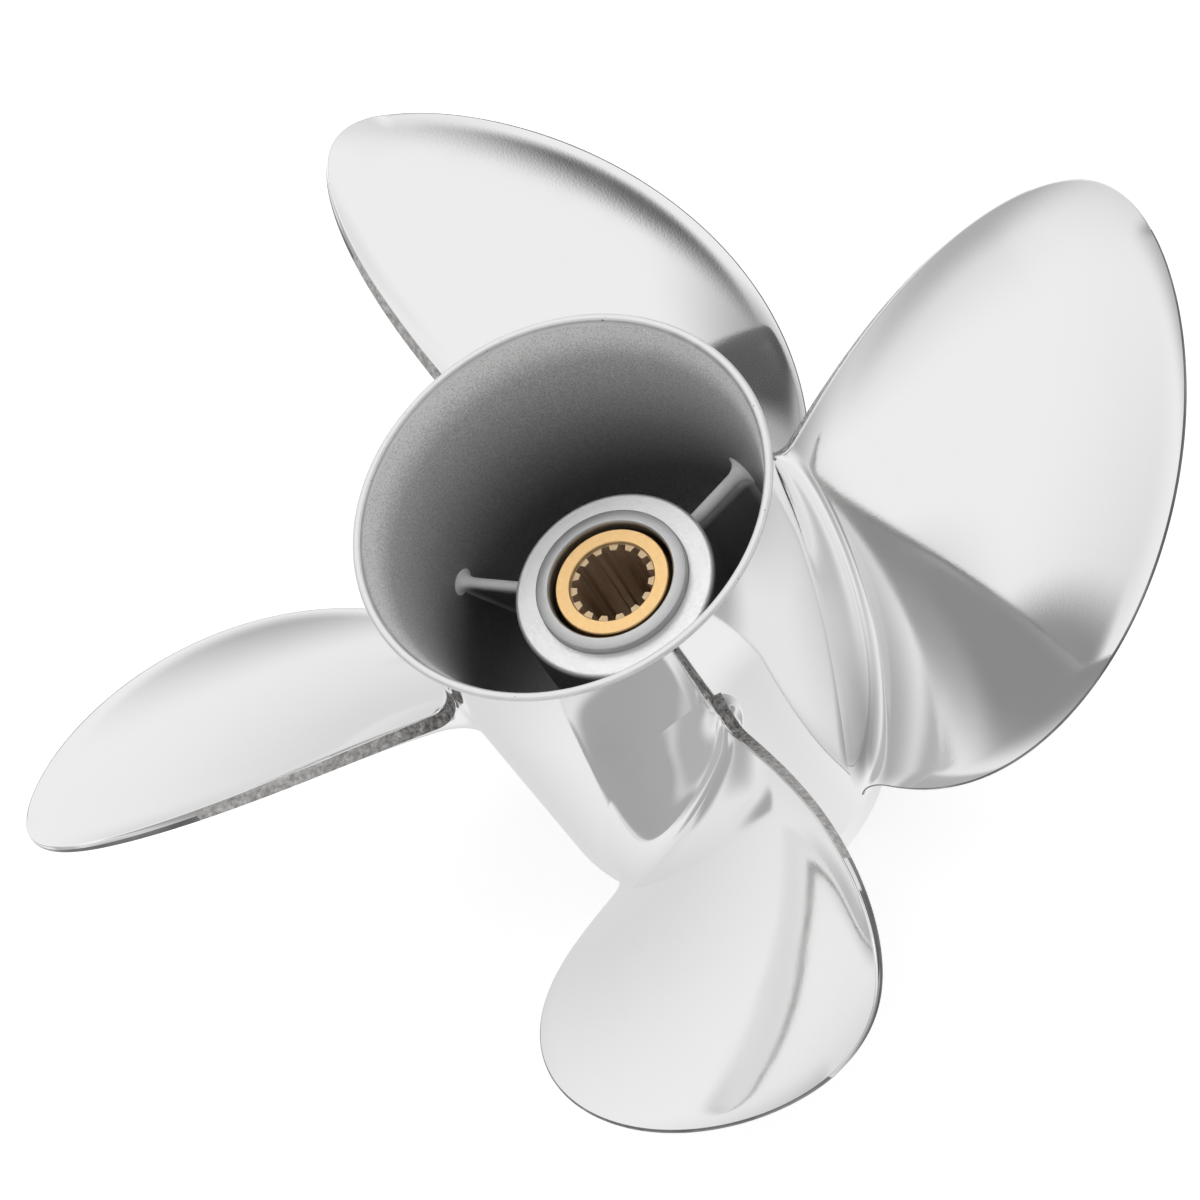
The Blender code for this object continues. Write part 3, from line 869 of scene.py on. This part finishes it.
def blade_sheet(sizes, hub_radius, edge_share, middle_share, side, nose, rows_out):
    """Span share, angle and radius of each point, on the generating surface.

    The last row stops short of the edge by its nose, which is rounded over later.
    """
    shortest = 0.001
    span = sizes.tip_radius - hub_radius
    low_edge, low_middle = np.clip(edge_share, 0.0, 1.0), np.clip(middle_share, 0.0, 1.0)
    middle_angle = bezier(sizes.middle, low_middle)
    half_angle = bezier(sizes.half, low_edge) * np.sqrt(1.0 - low_edge)
    edge_angle = bezier(sizes.middle, low_edge) + side * half_angle
    aside = (hub_radius + span * low_edge) * np.radians(edge_angle - middle_angle)
    reach = np.maximum(np.hypot(aside, span * (edge_share - middle_share)), shortest)
    inset = rows_out * (1.0 - np.clip(nose / reach, 0.0, 0.5))
    share = middle_share + (edge_share - middle_share) * inset
    angle = middle_angle + (edge_angle - middle_angle) * inset
    return np.clip(share, 0.0, 1.0), angle, hub_radius + span * share


def face_relief(sizes, hub_radius, points, share, swing, crown):
    """How far the faces leave the generating surface: the cup, the roll and the hollow.

    The cup fades out over the last part of the span.
    """
    full, fading, curve = 0.70, 0.30, 2.5
    gap = edge_distance(sizes, hub_radius, points, 1.0)
    cup = sizes.cup * (1.0 - smooth_step((share - full) / fading))
    curl = 1.0 - np.clip(1.0 - gap / sizes.cup_width, 0.0, 1.0) ** curve
    relief = cup * (curl - 0.5 * (1.0 - np.clip(swing, -1.0, 1.0)))
    gap = edge_distance(sizes, hub_radius, points, -1.0)
    relief = relief + sizes.roll * np.clip(1.0 - gap / sizes.roll_width, 0.0, 1.0) ** curve
    return relief + bezier(sizes.hollow, share) * crown


def root_fillet(sizes, deep, side, rows_out, rows_wall):
    """How far the root fillet moves a point ahead and aside. It fans out round the root's ends."""
    foot = 1.0 - np.sqrt(1.0 - deep ** 2)
    chord = 0.5 - 0.5 * side * rows_out
    fan = (math.pi / 2) * rows_out ** 6
    on_aft, on_forward = rows_wall <= 0.0, rows_wall >= 1.0
    aft = bezier(sizes.fillet_aft, chord)
    forward = bezier(sizes.fillet_forward, chord)
    end = np.where(side > 0, sizes.fillet_ends[0], sizes.fillet_ends[1])
    wide = np.where(on_aft, aft, np.where(on_forward, forward, end))
    wide = wide + (end - wide) * np.sin(fan) ** 2
    across = np.where(on_aft, -1.0, np.where(on_forward, 1.0, 0.0)) * np.cos(fan)
    lift = np.where(side > 0, sizes.root_lift, 0.0) * np.sin(fan) ** 2
    return foot * (wide * across - lift), foot * wide * side * np.sin(fan)


def edge_nose(points, nose, turn, power):
    """How far the rim stands out past the last row, away from the rows before it."""
    away = points[:, FACE_ROWS - 1, :] - points[:, FACE_ROWS - 5, :]
    away = away / np.linalg.norm(away, axis=-1, keepdims=True)
    stand = nose * np.sin(turn) ** power
    return away[:, None, :] * stand[..., None]


def blade_points(sizes, hub_radius):
    """Points of a blade on a grid.

    A column runs from the middle of the aft face out to the edge, over the edge, and back to
    the middle of the forward face. The columns go from the trailing root round the tip to the
    leading root, with one more at each end that closes it.
    """
    edge_share, middle_share, side, blunt = blade_columns(sizes, sizes.tip_radius - hub_radius)
    rows_out, rows_wall = blade_rows()
    low_edge = np.clip(edge_share, 0.0, 1.0)
    trailing, leading = bezier(sizes.trailing, low_edge), bezier(sizes.leading, low_edge)
    edge_thick = leading + (trailing - leading) * blunt
    nose = edge_thick * 0.5 * (1.0 - blunt) + sizes.corner * blunt
    share, angle, radius = blade_sheet(sizes, hub_radius, edge_share, middle_share, side, nose, rows_out)
    height, run, rise = blade_surface(sizes, radius, share, angle)
    points = on_cylinder(radius, angle, height)

    swing = (angle - bezier(sizes.middle, share)) / bezier(sizes.half, share)
    crown = np.clip(1.0 - share - swing ** 2, 0.0, 1.0)
    mixed = 0.5 + 0.5 * np.clip(swing, -1.0, 1.0)
    thick = bezier(sizes.leading, share) * (1.0 - mixed) + bezier(sizes.trailing, share) * mixed
    thick = thick + (edge_thick - thick) * rows_out ** 4 + sizes.crown * crown

    # Over the edge the section is round where it is thin, and nearly square where it is blunt.
    turn, squareness = math.pi * rows_wall, 0.62
    power = 1.0 - squareness * blunt
    rim = 0.5 - 0.5 * np.sign(np.cos(turn)) * np.abs(np.cos(turn)) ** power
    deep = np.clip((hub_radius + sizes.fillet_height - radius) / sizes.fillet_height, 0.0, 1.0)
    fillet_ahead, beside = root_fillet(sizes, deep, side, rows_out, rows_wall)
    ahead = face_relief(sizes, hub_radius, points, share, swing, crown) + thick * rim + fillet_ahead
    angle = angle + np.degrees((ahead * rise + beside * run) / radius)
    height = height - ahead * run + beside * rise
    solid = on_cylinder(radius, angle, height) + edge_nose(points, nose, turn, power)

    spine_angle, spine_height = (angle + angle[:, ::-1]) / 2, (height + height[:, ::-1]) / 2
    spine = on_cylinder(radius, spine_angle, spine_height)
    return np.concatenate([spine[:1], solid, spine[-1:]])


def rim_slots(sizes):
    """Finish of each face of the blade's grid.

    The trailing edge is rough ground from the root to the ground share, and beyond it a buffed
    rim painted dark as the reflection its rounded edge shows. The leading edge has that rim all along.
    """
    polished, ground, buffed = 0, 1, 2
    change = int(sizes.ground_share * BLADE_STEPS)
    aft, forward = FACE_ROWS - 1, FACE_ROWS + WALL_ROWS - 1
    slots = np.full((2 * BLADE_STEPS + 2, FACE_ROWS + forward), polished)
    slots[:change, aft + 3:forward] = ground
    slots[change:BLADE_STEPS, aft + 5:forward] = buffed
    slots[BLADE_STEPS:, aft:forward] = buffed
    return slots.reshape(-1)


class PROPELLER_OT_blades(Operator):
    """Four blades with cupped edges and root fillets"""

    bl_idname = "propeller.blades"
    bl_label = "Blades"

    def execute(self, context):
        sizes = context.scene.propeller_blade
        points = blade_points(sizes, context.scene.propeller_hub.radius)
        blade = laid("blade", points, rim_slots(sizes), BLADE_MERGE)
        tidy_mesh(blade, 40.0)
        give(blade, mirror_polish, ground_edge, buffed_edge)
        for number, piece in enumerate(turned_copies(blade, "blade_{}_polished", QUARTERS), start=1):
            finish(piece, "polished_steel", f"blade_{number}")
        return {"FINISHED"}


def seam_rings(sizes, hub):
    """Rings of points along a mould seam, which wanders in width and height."""
    heights, angles = sizes.seam_heights, sizes.seam_angles
    share = np.linspace(0.0, 1.0, SEAM_RINGS)[:, None]
    height = heights[0] + (heights[1] - heights[0]) * share
    angle = angles[0] + (angles[1] - angles[0]) * share ** 1.6
    wander = 1.0 + 0.22 * np.sin(17.0 * share) + 0.12 * np.sin(41.0 * share + 1.0)
    swelling = np.clip(1.0 - share / 0.06, 0.0, 1.0)
    width = sizes.seam_width * wander * (0.55 + 0.45 * share + 0.9 * swelling)
    across = np.array([-1.0, -0.6, -0.2, 0.2, 0.6, 1.0])
    surface = np.array([flare_radius(hub, value) for value in height[:, 0]])[:, None]
    crest = surface + sizes.seam_rise * wander * (1.0 - across ** 2) - SEAM_SINK
    radius = np.concatenate([crest, surface - BURY + 0.0 * across], axis=1)
    around = np.concatenate([across, across[::-1]])
    return on_cylinder(radius, angle + np.degrees(width * around / surface), height)


class PROPELLER_OT_seams(Operator):
    """Mould seams from each blade's trailing root to the lip"""

    bl_idname = "propeller.seams"
    bl_label = "Mould Seams"

    def execute(self, context):
        rings = seam_rings(context.scene.propeller_blade, context.scene.propeller_hub)
        seam = lofted("seam", rings)
        give(seam, seam_steel)
        for piece in turned_copies(seam, "mould_seam_{}", QUARTERS):
            finish(piece, "polished_steel", "exhaust_flare")
        return {"FINISHED"}


# Soft patches of the studio, as the polished faces see them:
# azimuth, elevation, half width, half height, softness and how much light is left. The last one
# but one is a dark patch low behind the propeller, and the last one is a softbox high behind it,
# which lights the inner hub and the lip.
FLAGS = (
    (-85.0, 41.5, 31.5, 30.0, 0.31, 0.39),
    (176.0, 20.0, 8.0, 14.5, 0.40, 0.37),
    (-19.5, 49.0, 24.0, 3.4, 0.45, 0.12),
    (-61.5, 48.5, 6.0, 3.2, 0.71, 0.36),
    (154.5, -5.5, 25.5, 14.5, 0.15, 0.49),
    (19.0, -19.0, 36.0, 6.5, 0.20, 0.19),
    (-55.5, -30.0, 57.5, 25.0, 0.50, 0.32),
    (147.0, 45.5, 21.0, 30.0, 0.90, 0.41),
    (-162.5, -7.5, 16.5, 25.0, 0.42, 0.54),
    (48.0, 15.0, 23.5, 14.5, 0.52, 0.34),
    (-112.5, -4.0, 26.0, 15.5, 0.62, 0.56),
    (34.5, 59.0, 16.5, 21.0, 0.33, 0.60),
    (90.0, -50.0, 60.0, 35.0, 0.50, 0.79),
    (90.0, 62.0, 26.0, 20.0, 0.60, 1.90),
)


def compass(azimuth, elevation):
    """The direction of an azimuth and elevation in degrees."""
    turn, climb = math.radians(azimuth), math.radians(elevation)
    return Vector((math.cos(turn) * math.cos(climb), math.sin(turn) * math.cos(climb), math.sin(climb)))


def math_node(tree, operation, first, second):
    """The product or the larger value of two sockets or numbers."""
    return add_node(tree, "ShaderNodeMath", "Value", {0: first, 1: second}, operation=operation)


def patch_share(tree, way, azimuth, elevation, wide, high, soft, left):
    """Light left by one soft elliptical patch, along a direction."""
    ahead, side = compass(azimuth, elevation), compass(azimuth + 90.0, 0.0)
    turn = Matrix((side, ahead.cross(side), ahead)).transposed().to_euler()
    spread = (math.sin(math.radians(wide)), math.sin(math.radians(high)), 1.0)
    values = {"Vector": way, "Location": ahead, "Rotation": turn, "Scale": spread}
    place = add_node(tree, "ShaderNodeMapping", "Vector", values, vector_type="TEXTURE")
    size = add_node(tree, "ShaderNodeVectorMath", "Value", {0: place}, operation="LENGTH")
    values = {"Value": size, "From Min": 1.0 - soft, "From Max": 1.0 + soft, "To Min": left}
    return add_node(tree, "ShaderNodeMapRange", "Result", values, interpolation_type="SMOOTHSTEP")


def surround(settings):
    """White surround with soft patches that only the light and the reflections see."""
    world = bpy.data.worlds.new("surround")
    world.use_nodes = True
    world.cycles.sampling_method = "MANUAL"
    world.cycles.sample_map_resolution = 256
    tree = world.node_tree
    way = add_node(tree, "ShaderNodeTexCoord", "Generated", {})
    light = settings.sky
    for patch in FLAGS:
        light = math_node(tree, "MULTIPLY", patch_share(tree, way, *patch), light)
    seen = add_node(tree, "ShaderNodeLightPath", "Is Camera Ray", {})
    light = math_node(tree, "MAXIMUM", seen, light)
    fill(tree, tree.nodes["Background"].inputs["Color"], light)
    return world


CAMERA_PLACE = Vector((0.0, -0.4216, 0.7402))
CAMERA_RIGHT = Vector((0.83312, -0.45432, -0.31546))
CAMERA_DOWN = Vector((-0.55304, -0.69228, -0.46356))


def place_camera(scene, focal):
    """Camera where the photo was taken from."""
    camera = bpy.data.cameras.new("camera")
    camera.sensor_width = 36.0
    camera.lens = focal
    camera.clip_start = 0.01
    eye = bpy.data.objects.new("camera", camera)
    scene.collection.objects.link(eye)
    forward = CAMERA_RIGHT.cross(CAMERA_DOWN).normalized()
    right = CAMERA_RIGHT.normalized()
    turn = Matrix((right, (-forward).cross(right), -forward)).transposed().to_4x4()
    eye.matrix_world = Matrix.Translation(CAMERA_PLACE) @ turn
    scene.camera = eye


def studio_floor(nodes):
    """Pale floor that glows a little, as on a light table."""
    settings = bpy.context.scene.propeller_studio
    nodes.use("Base Color", (*settings.floor, 1.0))
    nodes.use("Roughness", 0.9)
    nodes.use("Emission Color", (1.0, 1.0, 1.0, 1.0))
    nodes.use("Emission Strength", settings.glow)


class PROPELLER_OT_studio(Operator):
    """White floor, surround and camera"""

    bl_idname = "propeller.studio"
    bl_label = "Studio"

    def execute(self, context):
        settings = context.scene.propeller_studio
        place_camera(context.scene, settings.focal)
        deselect()
        bpy.ops.mesh.primitive_circle_add(vertices=96, radius=0.62, fill_type="NGON", location=(0, 0, 0))
        floor = context.object
        floor.name = "studio_floor"
        give(floor, studio_floor)
        floor.visible_glossy = False

        context.scene.world = surround(settings)
        context.scene.view_settings.view_transform = "Standard"
        return {"FINISHED"}


class PROPELLER_PT_panel(Panel):
    """Lists the propeller's pieces"""

    bl_idname = "PROPELLER_PT_panel"
    bl_label = "Outboard Propeller"
    bl_space_type = "VIEW_3D"
    bl_region_type = "UI"
    bl_category = "Propeller"

    def draw(self, context):
        for operator in OPERATORS:
            self.layout.operator(operator.bl_idname)


OPERATORS = (
    PROPELLER_OT_studio,
    PROPELLER_OT_hub,
    PROPELLER_OT_lip,
    PROPELLER_OT_lining,
    PROPELLER_OT_inner_hub,
    PROPELLER_OT_ribs,
    PROPELLER_OT_sleeve,
    PROPELLER_OT_blades,
    PROPELLER_OT_seams,
)


def register():
    """Register the settings, operators and panel."""
    for group in SETTINGS.values():
        bpy.utils.register_class(group)
    for name, group in SETTINGS.items():
        setattr(bpy.types.Scene, name, PointerProperty(type=group))
    for operator in OPERATORS:
        bpy.utils.register_class(operator)
    bpy.utils.register_class(PROPELLER_PT_panel)


def unregister():
    """Remove what register added."""
    bpy.utils.unregister_class(PROPELLER_PT_panel)
    for operator in reversed(OPERATORS):
        bpy.utils.unregister_class(operator)
    for name in SETTINGS:
        delattr(bpy.types.Scene, name)
    for group in reversed(list(SETTINGS.values())):
        bpy.utils.unregister_class(group)


def main():
    """Make every piece."""
    register()
    for operator in OPERATORS:
        group, name = operator.bl_idname.split(".")
        getattr(getattr(bpy.ops, group), name)()


if __name__ == "__main__":
    main()
